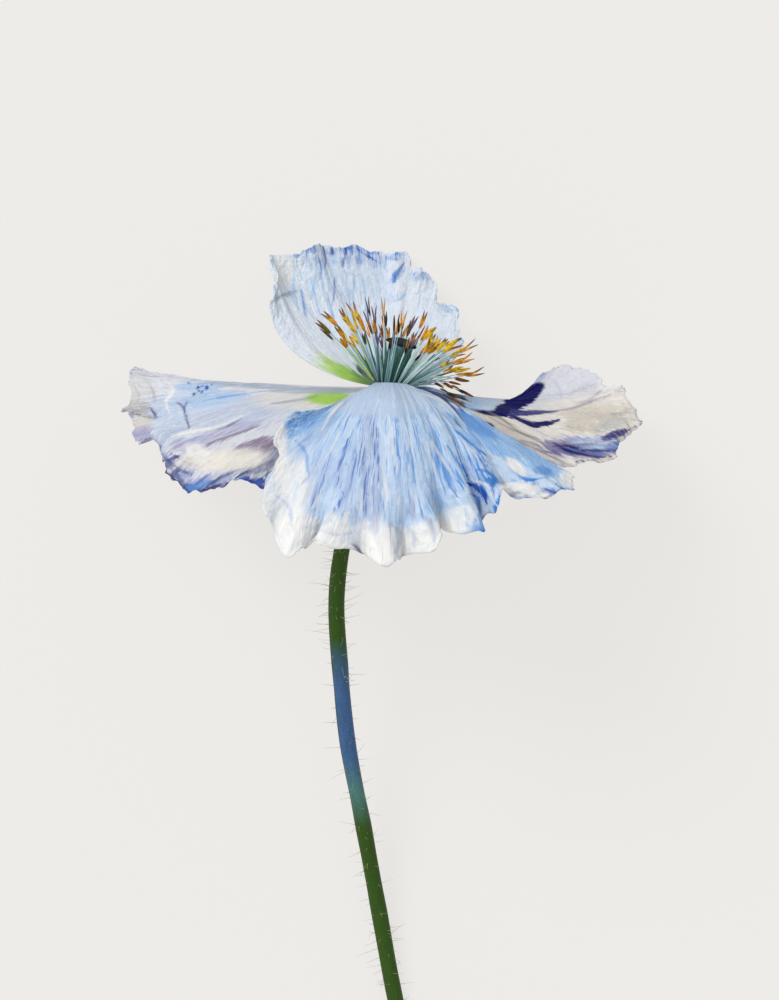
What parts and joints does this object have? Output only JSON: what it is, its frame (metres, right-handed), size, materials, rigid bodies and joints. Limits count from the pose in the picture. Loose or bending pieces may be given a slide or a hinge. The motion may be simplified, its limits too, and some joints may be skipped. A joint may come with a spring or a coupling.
{
  "type": "poppy flower",
  "caption": "Open poppy flower with crinkled petals and a ring of stamens round a young seed capsule, cut with its curved stem and lying down.",
  "frame": {"origin": "on the surface the flower lies on, under the centre of its box", "axes": "+Z away from the surface it lies on, +Y along the stem from its cut end to the bloom, +X to the bloom's right as seen from above"},
  "size_m": [0.1024, 0.1796, 0.0614],
  "materials": {
    "petal_pale": "thin crinkled petal tissue, white to lilac with blue streaks, matt",
    "petal_blue": "thin crinkled petal tissue, light blue with a white frilled rim, matt",
    "receptacle": "fresh green plant tissue, satin",
    "seed_capsule": "fresh grey-green plant tissue with a near-black stigma disc, satin",
    "stem": "fresh green stem with a blue band and fine hairs, satin",
    "stamen": "pale blue-green filament with an amber to brown anther"
  },
  "bodies": {
    "root": {"petal_back": "petal_pale", "petal_left": "petal_pale", "petal_right": "petal_pale", "petal_front": "petal_blue", "receptacle": "receptacle", "seed_capsule": "seed_capsule", "stem": "stem", "stamen_01": "stamen", "stamen_02": "stamen", "stamen_03": "stamen", "stamen_04": "stamen", "stamen_05": "stamen", "stamen_06": "stamen", "stamen_07": "stamen", "stamen_08": "stamen", "stamen_09": "stamen", "stamen_10": "stamen", "stamen_11": "stamen", "stamen_12": "stamen", "stamen_13": "stamen", "stamen_14": "stamen", "stamen_15": "stamen", "stamen_16": "stamen", "stamen_17": "stamen", "stamen_18": "stamen", "stamen_19": "stamen", "stamen_20": "stamen", "stamen_21": "stamen", "stamen_22": "stamen", "stamen_23": "stamen", "stamen_24": "stamen", "stamen_25": "stamen", "stamen_26": "stamen", "stamen_27": "stamen", "stamen_28": "stamen", "stamen_29": "stamen", "stamen_30": "stamen", "stamen_31": "stamen", "stamen_32": "stamen", "stamen_33": "stamen", "stamen_34": "stamen", "stamen_35": "stamen", "stamen_36": "stamen", "stamen_37": "stamen", "stamen_38": "stamen", "stamen_39": "stamen", "stamen_40": "stamen", "stamen_41": "stamen", "stamen_42": "stamen", "stamen_43": "stamen", "stamen_44": "stamen", "stamen_45": "stamen", "stamen_46": "stamen", "stamen_47": "stamen", "stamen_48": "stamen"}
  },
  "joints": []
}
